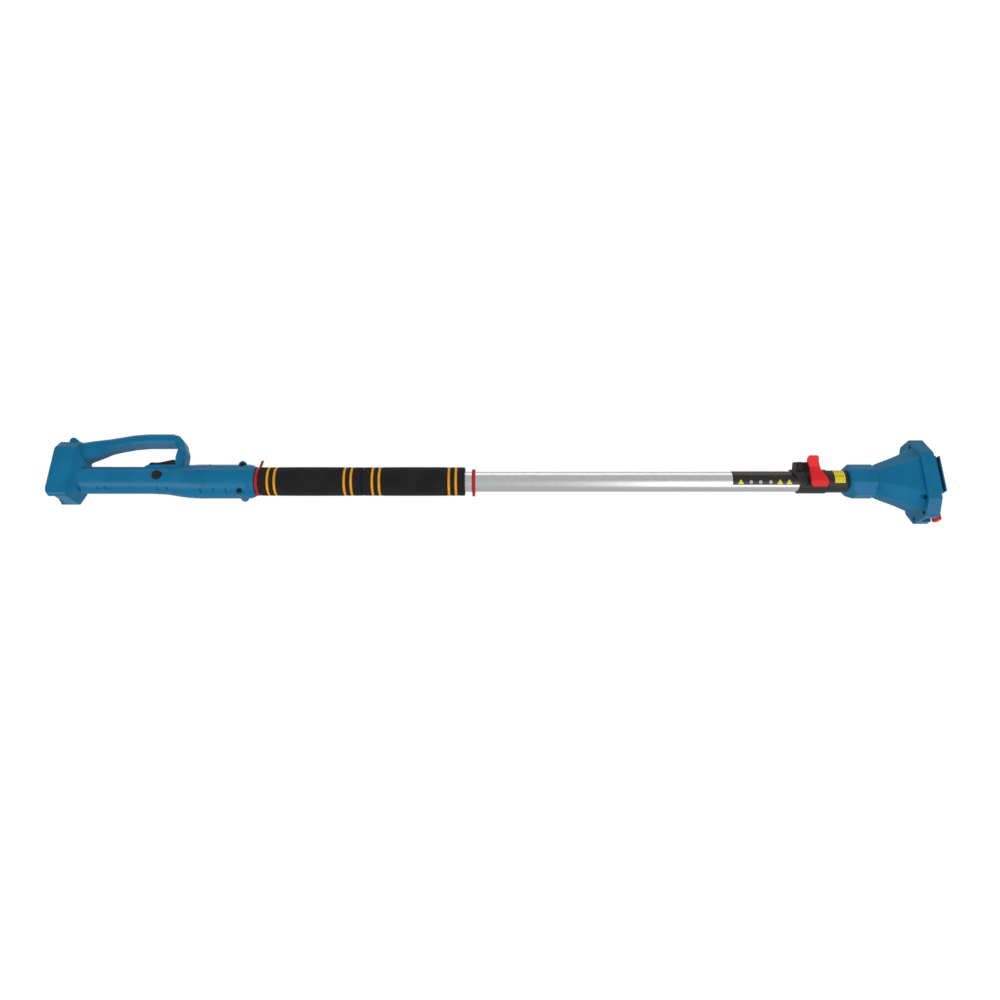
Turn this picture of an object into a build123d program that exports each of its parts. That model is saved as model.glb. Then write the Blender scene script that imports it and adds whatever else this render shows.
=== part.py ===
"""Telescoping extension pole for a battery pole saw: handle, two-stage tube, lever clamp, tool head.

The pole runs along +X, from the battery foot to the head that carries the saw.
+Z is the side of the hand guard and the trigger, -Y the side of the clamp lever.
Stations are measured from a datum 4 mm in front of the foot's rear edge; the
exported frame starts SEAT_FLOOR further forward, on the battery seat's floor.
"""
import os
from math import cos, radians, sin

from build123d import *

# ---- driving dimensions, mm ------------------------------------------------
OUTER_R, OUTER_BORE = 14.0, 12.8       # silver outer tube
INNER_R, INNER_BORE = 12.5, 11.3       # black inner tube, slides inside
OUTER_START, OUTER_END = 214.0, 1010.6
INNER_START, INNER_END = 282.0, 1108.0
FIT = 0.02                             # seat of one fixed piece in another
RUN = 0.06                             # pin running in a moving piece

FOOT_START, FOOT_END = -8.5, 20.4
SEAT_FLOOR = 4.0                       # battery seat, open towards -X and -Z
SEAT_HALF_WIDTH = 16.5
LIP = 3.0                              # the two lips that hold the battery
NECK_END = 31.0
FOOT_HALF_WIDTH = 23.0
FOOT_BOTTOM, FOOT_TOP = -27.2, 56.0
GRIP_HALF_WIDTH, GRIP_HALF_HEIGHT = 17.3, 18.7
GRIP_Z = 1.7                           # height of the palm grip's centre
NOSE_R = 23.3                          # thick front end that holds the tube
NOSE_END = 267.0
WALL = 2.8                             # moulded wall of the handle
LOOP_HALF_WIDTH = 12.0                 # hand guard bar
LOOP_ROUND = 6.5
BOLT_X, BOLT_Z = 249.0, 19.0           # two bolts that squeeze the tube

TRIGGER_PIVOT = (121.0, 15.0)          # x, z
TRIGGER_HALF_WIDTH = 6.9
LOCK_OFF_X, LOCK_OFF_Z = 136.0, 3.0
LOCK_OFF_R = 6.1

FOAM_R = 19.6
FOAM_STARTS = (273.6, 412.6)
FOAM_LENGTH = 138.6
STRIPE_WIDTH = 5.0
STRIPES_FROM_OUTER_END = (12.0, 21.4)
STRIPES_FROM_INNER_END = (14.0, 23.4)
RING_1_X, RING_2_X = 270.2, 562.9

CLAMP_ROLL = 21.0                      # the clamp is set turned towards -Y
CLAMP_R = 16.4
CLAMP_START, CLAMP_SLIT, CLAMP_END = 995.0, 1011.0, 1042.0
LUG_TOP = 26.6
PINCH_Z = 20.3
LEVER_PIVOT = (-22.5, -1.0)            # y, z before the roll
FERRULE_R = 15.2
FERRULE_START, FERRULE_END = 1042.6, 1070.0

COLLAR_R = 23.5                        # corner radius of the eight-sided collar
COLLAR_END = 1107.0
RIM_START, RIM_END, PLATE_END = 1161.5, 1168.0, 1180.0
FLANGE = [(34.0, 28.9), (13.5, 56.2), (-13.5, 56.2), (-34.0, 28.9),
          (-33.0, -36.0), (-18.0, -55.6), (18.0, -55.6), (33.0, -36.0)]
RAIL_END = 1190.5
RAIL_HALF_WIDTH = 28.5

NODES = {}


# ---- small helpers ---------------------------------------------------------
def rod_x(r, x0, x1, y=0.0, z=0.0):
    return Pos((x0 + x1) / 2, y, z) * Rot(0, 90, 0) * Cylinder(r, x1 - x0)


def rod_y(r, x, z, y0, y1):
    return Pos(x, (y0 + y1) / 2, z) * Rot(90, 0, 0) * Cylinder(r, y1 - y0)


def rod_z(r, x, y, z0, z1):
    return Pos(x, y, (z0 + z1) / 2) * Cylinder(r, z1 - z0)


def pipe_x(r_out, r_in, x0, x1):
    return rod_x(r_out, x0, x1) - rod_x(r_in, x0 - 1, x1 + 1)


def block(x0, x1, y0, y1, z0, z1):
    return Pos((x0 + x1) / 2, (y0 + y1) / 2, (z0 + z1) / 2) * Box(x1 - x0, y1 - y0, z1 - z0)


def prism_y(points, half_width):
    """Side outline in X and Z, made solid across the pole."""
    face = make_face(Polyline(*points, close=True))
    return extrude(Plane.XZ * face, amount=half_width, both=True)


def prism_x(points, x0, x1):
    """Section in Y and Z, made solid along the pole."""
    face = make_face(Polyline(*points, close=True))
    return extrude(Plane.YZ.offset(x0) * face, amount=x1 - x0)


def coil_spring(r, wire, length, turns):
    """Compression spring along +Z from the origin."""
    path = Helix(pitch=length / turns, height=length, radius=r)
    section = Plane(path @ 0, z_dir=path % 0) * Circle(wire)
    return sweep(section, path=path)


def hex_nut_y(x, z, y0, y1, across, bore):
    face = RegularPolygon(across / 2, 6, major_radius=False) - Circle(bore)
    return Pos(x, y1, z) * Rot(90, 0, 0) * extrude(face, amount=y1 - y0)


def ring_sector(r_in, r_out, x0, x1, deg0, deg1):
    """Sheet wrapped on a tube; 0 degrees faces -Y, 90 faces +Z."""
    far = 3 * r_out
    edge = [(0.0, 0.0)]
    for deg in (deg0, (deg0 + deg1) / 2, deg1):
        a = radians(deg)
        edge.append((-far * cos(a), far * sin(a)))
    wedge = prism_x(edge, x0, x1)
    return pipe_x(r_out, r_in, x0, x1) & wedge


# ---- handle ----------------------------------------------------------------
def foot_section(scale=1.0, inset=0.0):
    """Outline of the battery foot: narrow top, round bottom."""
    w = FOOT_HALF_WIDTH * scale - inset
    bottom = FOOT_BOTTOM * scale + inset
    top = FOOT_TOP * scale - inset
    shoulder = 42.2 * scale - inset / 2
    points = [(-w, bottom), (w, bottom), (w * 0.9, shoulder), (w * 0.36, top),
              (-w * 0.36, top), (-w * 0.9, shoulder)]
    face = make_face(Polyline(*points, close=True))
    low = face.vertices().sort_by(Axis.Y)[:2]
    face = fillet(low, 5.5 * scale - inset / 2)
    high = face.vertices().sort_by(Axis.Y)[-4:]
    return fillet(high, 6.0 * scale)


def solid_foot():
    foot = extrude(Plane.YZ.offset(FOOT_START) * foot_section(), amount=FOOT_END - FOOT_START)
    foot = chamfer(foot.faces().sort_by(Axis.X)[0].edges(), 1.6)
    neck = loft([Plane.YZ.offset(FOOT_END) * foot_section(),
                 Plane.YZ.offset(NECK_END) * foot_section(0.62)])
    ridge = prism_y([(4, 48), (4, 59.5), (7, 62.4), (11.5, 61.5), (18.5, 55), (18.5, 48)], 8.0)
    ridge = fillet(ridge.edges().filter_by(Axis.X, reverse=True).group_by(Axis.Z)[-1], 1.0)
    rear_corner = prism_y([(-9, -14), (-9, -30), (-2, -30), (-4.5, -25), (-7.5, -19)], 30)
    return foot + neck + ridge - rear_corner


def oval_x(half_width, half_height, x0, x1):
    face = Pos(0, GRIP_Z) * Ellipse(half_width, half_height)
    return extrude(Plane.YZ.offset(x0) * face, amount=x1 - x0)


def solid_grip():
    grip = oval_x(GRIP_HALF_WIDTH, GRIP_HALF_HEIGHT, 20.0, 150.0)
    shape = Spline((112, 16.6), (130, 17.2), (148, 18.5), (164, 21.1), (180, 22.8), (204, NOSE_R))
    rest = Polyline((204, NOSE_R), (258, NOSE_R), (262.5, 22.2), (NOSE_END, 19.8),
                    (NOSE_END, 0), (112, 0), (112, 16.6))
    nose = revolve(make_face(shape + rest), Axis.X)
    bosses = [rod_y(5.5, BOLT_X, z, -14.0, 14.0) for z in (BOLT_Z, -BOLT_Z)]
    return grip + nose + bosses


LOOP_OUTSIDE = [(6, 8), (6, 53.0), (20, 53.6), (38, 56.6), (60, 59.4), (92, 65.2), (112, 67.0),
                (146, 67.0), (155.5, 64), (162, 56), (167.8, 40), (167.8, 8)]
LOOP_INSIDE = [(155.2, 0), (153.6, 34), (155.6, 46), (150, 51.6), (112, 51.6), (92, 49.8),
               (72, 45.8), (60, 42.6), (50, 37.6), (34, 30.4), (27.5, 25.0), (27.5, 0)]


def loop_face(inset=0.0):
    outside = make_face(Polyline(*LOOP_OUTSIDE, close=True))
    inside = make_face(Polyline(*LOOP_INSIDE, close=True))
    corners = outside.vertices().sort_by(Axis.Y)[2:]
    outside = fillet(corners.filter_by(lambda v: v.X > 140), 9.0)
    top_inside = [v for v in inside.vertices() if v.X > 140 and v.Y > 40]
    inside = fillet(top_inside, 3.0)
    if inset:
        outside = offset(outside, -inset)
        inside = offset(inside, inset)
    return outside - inside


def solid_loop():
    slab = extrude(Plane.XZ * loop_face(), amount=LOOP_HALF_WIDTH, both=True)
    side_edges = [e for e in slab.edges()
                  if abs(abs(e.center().Y) - LOOP_HALF_WIDTH) < 0.01 and e.center().Z > 20]
    try:
        return fillet(side_edges, LOOP_ROUND)
    except Exception:
        return chamfer(side_edges, 4.0)


HUMP = [(108, 8), (112, 17.2), (117.5, 21.2), (157, 21.6), (160, 8)]


def shell_screw_spots():
    """x, z and half width of the handle where each shell screw sits."""
    return [(12.0, -15.0, 21.5), (12.0, 44.0, 17.2), (66.0, -9.5, 14.0),
            (86.0, 56.2, 12.0), (161.2, 42.0, 12.0), (187.0, -16.0, 16.4), (205.0, 15.5, 16.8)]


def vent_slots():
    """Short slots low on both sides of the handle."""
    slots = []
    for x, r, tall in ((56, 17.2, 5), (67, 17.2, 5), (137, 17.6, 5), (150, 18.6, 5),
                       (197, NOSE_R, 7), (214, NOSE_R, 7), (231, NOSE_R, 7)):
        for side in (-1, 1):
            turned = Rot(X=-side * 52) * Pos(x, side * (r + 0.2), 0)
            slots.append(turned * Box(2.0, 2.4, tall))
    return slots


def make_handle():
    hump = prism_y(HUMP, 10.6)
    hump = fillet([e for e in hump.edges() if e.center().Z > 18 and abs(e.center().Y) > 10], 2.4)
    body = solid_foot() + solid_grip() + solid_loop() + hump

    seat = block(FOOT_START - 1, SEAT_FLOOR, -SEAT_HALF_WIDTH, SEAT_HALF_WIDTH, -40, 42)
    lips = [block(FOOT_START, FOOT_START + LIP, side * SEAT_HALF_WIDTH - 3, side * SEAT_HALF_WIDTH + 3,
                  -40, 42) for side in (-1, 1)]
    seat = seat - lips
    well = block(SEAT_FLOOR - 1, SEAT_FLOOR + 5, -13.2, 13.2, 11.8, 36.2)
    foot_room = extrude(Plane.YZ.offset(SEAT_FLOOR + 2.5) * foot_section(inset=4.0),
                        amount=FOOT_END - SEAT_FLOOR - 3.5)
    grip_room = oval_x(GRIP_HALF_WIDTH - WALL, GRIP_HALF_HEIGHT - WALL, FOOT_END - 4, 152)
    nose_room = rod_x(16.0, 150, 172) + rod_x(NOSE_R - 3.2, 171, 208) + \
        (rod_x(NOSE_R - 3.2, 221, 239) - rod_x(OUTER_R, 200, 260))
    loop_room = extrude(Plane.XZ * loop_face(3.4), amount=LOOP_HALF_WIDTH - 3.4, both=True)
    loop_room = loop_room - block(0, 40, -20, 20, 0, 70)
    body = body - seat - well - foot_room - grip_room - nose_room - loop_room
    body = body - rod_x(OUTER_R + FIT, OUTER_START - 2, NOSE_END + 1)
    body = body - rod_x(6.0, 200, 216)

    for x, z, half in shell_screw_spots():
        body = body + rod_y(3.8, x, z, -(half - 2.2), half - 2.2)
    for x, z, half in shell_screw_spots():
        body = body - rod_y(1.5 + FIT, x, z, -(half - 2.9), 40)
        body = body - rod_y(3.1, x, z, half - 4.8, 60)
    for z in (BOLT_Z, -BOLT_Z):
        body = body - rod_y(2.0 + FIT, BOLT_X, z, -30, 30)
        body = body - rod_y(3.8, BOLT_X, z, -30, -11.0)
        body = body - rod_y(3.8, BOLT_X, z, 11.0, 30)
    body = body - block(115.3, 155.9, -7.3, 7.3, 6, 32.5)
    body = body - rod_y(1.5 + FIT, *TRIGGER_PIVOT, -10.6, 9.4)
    body = body - rod_y(LOCK_OFF_R + 0.3, LOCK_OFF_X, LOCK_OFF_Z, -30, -10)
    for slot in vent_slots():
        body = body - slot
    return body


def half_of(body, side):
    y0, y1 = (0, 80) if side > 0 else (-80, 0)
    return body & block(-10, 300, y0, y1, -80, 90)


handle = make_handle()
NODES["handle_shell_left"] = half_of(handle, 1)
NODES["handle_shell_right"] = half_of(handle, -1)

screws = []
for x, z, half in shell_screw_spots():
    under = half - 4.8
    head = rod_y(2.8, x, z, under, under + 2.2) - rod_y(1.1, x, z, under + 1.0, under + 2.3)
    screws.append(head + rod_y(1.5, x, z, -(half - 3.0), under))
NODES["shell_screws"] = Compound(children=screws)

bolts, nuts = [], []
for z in (BOLT_Z, -BOLT_Z):
    head = rod_y(3.5, BOLT_X, z, -14.6, -11.0) - \
        Pos(BOLT_X, -12.6, z) * Rot(90, 0, 0) * extrude(RegularPolygon(1.7, 6), amount=3)
    bolts.append(head + rod_y(2.0, BOLT_X, z, -11.0, 14.4))
    nuts.append(hex_nut_y(BOLT_X, z, 11.0, 14.0, 6.4, 2.0))
NODES["tube_bolts"] = Compound(children=bolts)
NODES["tube_nuts"] = Compound(children=nuts)

# battery seat: terminals and board
terminal = block(SEAT_FLOOR - 3, SEAT_FLOOR + 5, -13, 13, 12, 36)
blade_z = (16.5, 20.5, 24.0, 27.5, 31.5)
for z in blade_z:
    terminal = terminal - block(SEAT_FLOOR - 4, SEAT_FLOOR + 3, -9, 9, z - 0.9, z + 0.9)
NODES["battery_terminal_block"] = terminal
blades = [block(SEAT_FLOOR - 2.6, SEAT_FLOOR + 3, -8, 8, z - 0.5, z + 0.5) for z in blade_z]
NODES["battery_contact_blades"] = Compound(children=blades)

board = block(9.2, 10.6, -14, 14, 2, 34) + block(10.6, 13.4, -10, -2, 10, 24) + \
    block(10.6, 12.8, 3, 12, 14, 28) + rod_x(2.5, 10.6, 14.4, 8, 8)
NODES["controller_board"] = board

# trigger, pin, switch and springs
trigger_side = [(117.2, 13), (117.2, 20), (118.6, 24.4), (121.2, 26), (127, 25.6), (134, 26.2),
                (143, 28.4), (149.5, 30.0), (152.6, 29.4), (153.8, 26), (153.8, 13), (146, 12.4),
                (124, 11.2)]
trigger = prism_y(trigger_side, TRIGGER_HALF_WIDTH)
trigger = fillet([e for e in trigger.edges() if e.center().Z > 24
                  and abs(abs(e.center().Y) - TRIGGER_HALF_WIDTH) < 0.01], 1.4)
trigger = trigger - rod_y(1.5 + RUN, *TRIGGER_PIVOT, -10, 10) - rod_z(3.3, 138, 0, 5, 19.5)
NODES["trigger"] = trigger
NODES["trigger_pin"] = rod_y(1.5, *TRIGGER_PIVOT, -10.4, 9.2)
NODES["trigger_spring"] = Pos(138, 0, 8.8) * coil_spring(2.3, 0.35, 10.3, 6)
switch = block(119, 150, -3.5, 9, -8, 8.4) + block(143, 147, 0, 5, 8.4, 9.2)
NODES["trigger_switch"] = switch - rod_y(1.3, 124, -3, -10, 10) - rod_y(1.3, 145, -3, -10, 10)

button = rod_y(LOCK_OFF_R, LOCK_OFF_X, LOCK_OFF_Z, -20.2, -12.9)
button = fillet(button.edges().group_by(Axis.Y)[0], 1.2)
button = button + block(LOCK_OFF_X - 9, LOCK_OFF_X + 9, -12.9, -11.3, LOCK_OFF_Z - 4.4, LOCK_OFF_Z + 4.4)
button = button + rod_y(2.2, LOCK_OFF_X, LOCK_OFF_Z, -11.3, -8.6)
NODES["lock_off_button"] = button
NODES["lock_off_spring"] = Pos(LOCK_OFF_X, -4.0, LOCK_OFF_Z) * Rot(90, 0, 0) * \
    coil_spring(3.4, 0.4, 6.8, 4)

# ---- pole ------------------------------------------------------------------
key = block(OUTER_START + 40, OUTER_END, -1.4, 1.4, -OUTER_BORE - 0.3, -OUTER_BORE + 1.0)
NODES["outer_tube"] = pipe_x(OUTER_R, OUTER_BORE, OUTER_START, OUTER_END) + \
    (key & rod_x(OUTER_R - 0.2, OUTER_START, OUTER_END))
anchor = rod_x(OUTER_BORE - FIT, OUTER_START, OUTER_START + 10) + rod_x(OUTER_R, OUTER_START - 2, OUTER_START)
NODES["rear_cord_anchor"] = anchor - rod_x(2.0 + FIT, OUTER_START - 3, OUTER_START + 11)

groove = block(INNER_START - 1, INNER_END - 30, -1.8, 1.8, -INNER_R - 1, -INNER_R + 1.7)
inner_tube = pipe_x(INNER_R, INNER_BORE - 0.9, INNER_START, INNER_END)
inner_tube = inner_tube - (groove - rod_x(INNER_R - 1.7, INNER_START - 2, INNER_END))
NODES["inner_tube"] = inner_tube - rod_z(2.2, 1100, 0, 5, 20)
guide = rod_x(INNER_BORE - 0.9 - FIT, INNER_START, INNER_START + 12) + \
    (rod_x(INNER_R, INNER_START - 5, INNER_START) - block(0, 2000, -1.8, 1.8, -20, -INNER_R + 1.7))
NODES["inner_tube_guide"] = guide - rod_x(9.0, INNER_START - 6, INNER_START + 13)
front_anchor = rod_x(INNER_BORE - 0.9 - FIT, INNER_END - 8, INNER_END) + \
    rod_x(INNER_R, INNER_END, INNER_END + 2)
front_anchor = front_anchor - rod_z(2.2, 1100, 0, 5, 20)
NODES["front_cord_anchor"] = front_anchor - rod_x(2.5, INNER_END - 9, INNER_END + 3)

coil = pipe_x(8.2, 4.4, 244, 1076) + rod_x(8.2, 240, 244) + rod_x(8.2, 1076, 1080) + \
    rod_x(2.0, OUTER_START - 8, 240)
NODES["coiled_lead"] = coil
rear_path = Spline((10.6, -4, 6), (40, 0, 6), (68, 0, 5), (102, 1, -3), (117, 2, -10.6), (128, 2, -11.2),
                   (145, 2, -11.2), (160, 1.5, -9.5), (184, 0, -2), (OUTER_START - 8, 0, 0),
                   tangents=[(1, 0, 0), (1, 0, 0)])
NODES["rear_lead"] = sweep(Plane(rear_path @ 0, z_dir=rear_path % 0) * Circle(1.9), path=rear_path)
front_path = Spline((1080, 0, 0), (1112, 0, 0), (1140, 0, 3), (1171, 0, 8),
                    tangents=[(1, 0, 0), (1, 0, 0)])
NODES["front_lead"] = sweep(Plane(front_path @ 0, z_dir=front_path % 0) * Circle(1.9), path=front_path)


def stripe_centres(start):
    """Stripe stations of one foam sleeve; the sleeves mirror each other."""
    near = STRIPES_FROM_OUTER_END if start == FOAM_STARTS[0] else STRIPES_FROM_INNER_END
    far = STRIPES_FROM_INNER_END if start == FOAM_STARTS[0] else STRIPES_FROM_OUTER_END
    return [start + d for d in near] + [start + FOAM_LENGTH - d for d in far]


stripes = []
for name, start in zip(("foam_grip_rear", "foam_grip_front"), FOAM_STARTS):
    sleeve = rod_x(FOAM_R, start, start + FOAM_LENGTH)
    ends = sleeve.faces().sort_by(Axis.X)[0].edges() + sleeve.faces().sort_by(Axis.X)[-1].edges()
    sleeve = fillet(ends, 1.6) - rod_x(OUTER_R + FIT, start - 1, start + FOAM_LENGTH + 1)
    for x in stripe_centres(start):
        half = STRIPE_WIDTH / 2
        sleeve = sleeve - pipe_x(FOAM_R + 1, FOAM_R - 1.2, x - half - 0.5, x + half + 0.5)
        stripes.append(pipe_x(FOAM_R - 0.1, FOAM_R - 1.2, x - half, x + half))
    NODES[name] = sleeve
NODES["grip_stripes"] = Compound(children=stripes)

ring = rod_x(19.6, RING_1_X - 2.2, RING_1_X + 2.2)
ring = fillet(ring.edges(), 1.8)
tab_side = [(RING_1_X + 0.2, 17), (RING_1_X + 0.6, 20.6), (RING_1_X + 3.4, 28.4),
            (RING_1_X + 5.8, 28.4), (RING_1_X + 3.0, 20.6), (RING_1_X + 2.2, 17)]
tab = Rot(X=20) * prism_y(tab_side, 2.2)
NODES["grip_ring_rear"] = (ring + tab) - rod_x(OUTER_R + FIT, 260, 280)
ring = fillet(rod_x(16.8, RING_2_X - 2.4, RING_2_X + 2.4).edges(), 1.6)
tab = Rot(X=20) * block(RING_2_X - 1.8, RING_2_X + 1.8, -3.0, 3.0, -20.4, -15)
NODES["grip_ring_front"] = (ring + fillet(tab.edges(), 0.9)) - rod_x(OUTER_R + FIT, 550, 575)


# ---- clamp, drawn upright and then rolled -----------------------------------
def lug_pair(x0, x1, lean):
    plates = []
    for y0, y1 in ((-7.4, -1.0), (1.0, 7.4)):
        plate = prism_y([(x0, 8), (x0 + lean, LUG_TOP), (x1 - 1.0, LUG_TOP), (x1, 8)], 3.2)
        top = [e for e in plate.edges() if e.center().Z > LUG_TOP - 0.1]
        plates.append(Pos(0, (y0 + y1) / 2, 0) * fillet(top, 1.4))
    return plates


py, pz = LEVER_PIVOT
collar = rod_x(CLAMP_R, CLAMP_START, CLAMP_END)
collar = chamfer(collar.faces().sort_by(Axis.X)[-1].edges(), 0.8)
for plate in lug_pair(CLAMP_START + 4, CLAMP_SLIT, 1.8) + lug_pair(CLAMP_SLIT + 1.4, 1026.0, 0.6):
    collar = collar + plate
clamp_side = [(CLAMP_START, 30), (CLAMP_START, 12), (CLAMP_START + 9, -4), (CLAMP_START + 9, -20),
              (CLAMP_END, -20), (CLAMP_END, 30)]
collar = collar & prism_y(clamp_side, 20)
for x0 in (1015.2, 1030.6):
    ear = block(x0, x0 + 3.0, py, -11, pz - 4.2, pz + 4.2) + rod_x(4.2, x0, x0 + 3.0, py, pz)
    collar = collar + ear
collar = collar - rod_x(OUTER_R + FIT, CLAMP_START - 1, CLAMP_END + 1)
collar = collar - block(CLAMP_START - 1, CLAMP_END + 1, -1, 1, 8, 40)
collar = collar - block(CLAMP_SLIT, CLAMP_SLIT + 1.4, -30, 30, -6, 40)
collar = collar - block(1019.4, 1029.6, -20, -11, pz - 4.6, pz + 4.6)
collar = collar - rod_x(1.5 + FIT, 1010, 1040, py, pz)
pinch_x = (1005.4, 1019.4)
for x in pinch_x:
    collar = collar - rod_y(2.0 + FIT, x, PINCH_Z, -20, 20)

bush = pipe_x(OUTER_R, OUTER_BORE, OUTER_END + 0.4, CLAMP_END) - block(1000, 1050, -1, 1, 8, 40)
bush = bush - block(1019.4, 1029.6, -20, -11, pz - 4.6, pz + 4.6)
pad = block(1019.8, 1029.2, -16.9, -11, pz - 4.2, pz + 4.2) - rod_x(INNER_R + 0.3, 1000, 1050)

outline = [(1008.7, 28.6), (1009.2, 33.0), (1011.0, 35.0), (1020.6, 35.0), (1023.2, 32.4),
           (1023.9, 27.3), (1027.3, 15.3), (1031.3, 10.0), (1035.6, 3.3), (1036.2, -2.0),
           (1034.6, -6.7), (1015.6, -6.7), (1013.2, -3.0), (1012.8, 18.0)]
face = make_face(Polyline(*outline, close=True))
outline_solid = extrude(Plane.XZ.offset(10) * face, amount=30)
band = [(-28.4, -6.7), (-30.0, -4.0), (-30.4, 1.0), (-29.6, 5.0), (-26.6, 12.0), (-24.8, 20.0),
        (-25.8, 27.0), (-29.6, 35.2), (-27.0, 35.2), (-22.6, 27.0), (-21.4, 20.0), (-22.4, 13.0),
        (-26.8, 4.6), (-27.2, -2.0), (-27.1, -6.7)]
lever = prism_x(band, 1005, 1040) & outline_solid
hub = rod_x(4.3, 1018.6, 1030.2, py + 1.0, pz) + block(1018.6, 1030.2, -28, py, pz - 4.3, pz + 4.3)
lever = (lever + hub) - rod_x(1.5 + RUN, 1000, 1050, py, pz)
pin = rod_x(1.5, 1014.6, 1034.2, py, pz)

pinch, pinch_nuts = [], []
for x in pinch_x:
    head = rod_y(3.4, x, PINCH_Z, -11.0, -7.4) - rod_y(1.6, x, PINCH_Z, -11.1, -9.2)
    pinch.append(head + rod_y(2.0, x, PINCH_Z, -7.4, 11.0))
    pinch_nuts.append(hex_nut_y(x, PINCH_Z, 7.4, 10.6, 7.0, 2.0))

roll = Rot(X=CLAMP_ROLL)
label = ring_sector(OUTER_R, OUTER_R + 0.15, 913, 1009, -40, 66)
label = label - roll * prism_y([(x - 0.3, z) for x, z in clamp_side], 20)
NODES["info_label"] = label
NODES["clamp_collar"] = roll * collar
NODES["clamp_bush"] = roll * bush
NODES["pressure_pad"] = roll * pad
NODES["clamp_lever"] = roll * lever
NODES["lever_pin"] = roll * pin
NODES["pinch_screws"] = Compound(children=[roll * s for s in pinch])
NODES["pinch_nuts"] = Compound(children=[roll * s for s in pinch_nuts])

# ---- moving end: ferrule and head -------------------------------------------
ferrule = rod_x(FERRULE_R, FERRULE_START, FERRULE_END)
ferrule = fillet(ferrule.faces().sort_by(Axis.X)[0].edges(), 0.8)
NODES["tube_ferrule"] = ferrule - rod_x(INNER_R + FIT, FERRULE_START - 1, FERRULE_END + 1)
NODES["ferrule_label"] = ring_sector(FERRULE_R, FERRULE_R + 0.15, 1050.4, 1064.4, -28, 52)


def octagon():
    points = []
    for i in range(8):
        a = radians(22.5 + 45 * i)
        points.append((COLLAR_R * cos(a), COLLAR_R * sin(a)))
    return points


def bell_section(x, t, scale=1.0, corner=3.0):
    """Outline between the collar (t = 0) and the flange (t = 1) at station x."""
    points = [((a[0] + (b[0] - a[0]) * t) * scale, (a[1] + (b[1] - a[1]) * t) * scale)
              for a, b in zip(octagon(), FLANGE)]
    face = make_face(Polyline(*points, close=True))
    return Plane.YZ.offset(x) * fillet(face.vertices(), corner)


BELL = ((COLLAR_END, 0.0), (1120.0, 0.12), (1132.0, 0.25), (1143.5, 0.39), (1153.5, 0.53),
        (RIM_START, 0.68))
WAIST = 0.94                           # the bell starts a little inside the collar
bell = loft([bell_section(x, t, scale=1.0 if t else WAIST, corner=2.6 + 2.4 * t) for x, t in BELL],
            ruled=False)
lead_in = 2.6
head_collar = extrude(bell_section(FERRULE_END + lead_in, 0.0, corner=2.6),
                      amount=COLLAR_END - FERRULE_END - 2 * lead_in)
head_collar = head_collar + loft([bell_section(FERRULE_END, 0.0, scale=0.9, corner=2.4),
                                  bell_section(FERRULE_END + lead_in, 0.0, corner=2.6)])
head_collar = head_collar + loft([bell_section(COLLAR_END - lead_in, 0.0, corner=2.6),
                                  bell_section(COLLAR_END, 0.0, scale=WAIST, corner=2.6)])
head_collar = head_collar - prism_y([(FERRULE_END - 1, -13.2), (FERRULE_END - 1, -30),
                                     (FERRULE_END + 14, -30), (FERRULE_END + 14, -24.5)], 30)
rim = extrude(bell_section(RIM_START, 1.0, corner=5.0), amount=RIM_END - RIM_START)
rib = prism_y([(1136, 20), (1136, 31), (1140.5, 35.6), (1147, 36.6), (1152, 36.6), (1152, 20)], 2.6)
shell = bell + head_collar + rim + fillet(rib.edges().filter_by(Axis.Z, reverse=True), 0.8)
room = loft([bell_section(x, 0.62 * t, scale=0.8, corner=2.0) for x, t in BELL], ruled=True)
shell = shell - room - extrude(bell_section(RIM_START - 0.5, 0.62, scale=0.8, corner=2.0), amount=10)
shell = shell - rod_x(INNER_R + FIT, FERRULE_END - 1, INNER_END) - rod_x(11.0, 1100, 1125)
shell = shell - rod_z(2.2, 1100, 0, 8, 30) - rod_z(4.2, 1100, 0, 18.5, 40)

plate = extrude(bell_section(RIM_END, 1.0, corner=5.0), amount=PLATE_END - RIM_END)
plate = chamfer(plate.faces().sort_by(Axis.X)[-1].edges(), 1.0)
corner_spots = [(11.5, 45.4), (-11.5, 45.4), (25.4, -31.4), (-25.4, -31.4), (13.6, -49.2), (-13.6, -49.2)]
head_screws = []
for y, z in corner_spots:
    shell = shell - rod_x(3.2, 1125, 1164.5, y, z) - rod_x(1.5 + FIT, 1160, 1170, y, z)
    plate = plate - rod_x(1.5 + FIT, 1160, 1175.2, y, z)
    head = rod_x(2.9, 1162.0, 1164.5, y, z) - rod_x(1.1, 1161, 1163.4, y, z)
    head_screws.append(head + rod_x(1.5, 1164.5, 1175.0, y, z))
NODES["head_screws"] = Compound(children=head_screws)

plate = plate - block(RIM_END - 1, PLATE_END + 1, -11.4, 11.4, -46.4, -28)
plate = plate - block(RIM_END - 1, PLATE_END + 1, -6.4, 6.4, -60, -40)
shell = shell - block(1164.0, RIM_END + 1, -11.4, 11.4, -46.4, -28) - rod_x(3.6, 1156.5, 1166, 0, -37)
shell = shell - block(1166.2, RIM_END + 1, -6.4, 6.4, -60, -40)
plate = plate - block(RIM_END - 1, PLATE_END + 1, -13.2, 13.2, -8, 22)
NODES["head_bell"] = shell
NODES["head_front_plate"] = plate
screw = rod_z(3.7, 1100, 0, 18.5, 20.6) - rod_z(1.5, 1100, 0, 19.4, 21)
NODES["collar_screw"] = screw + rod_z(2.0, 1100, 0, 6.5, 18.5)

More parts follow.
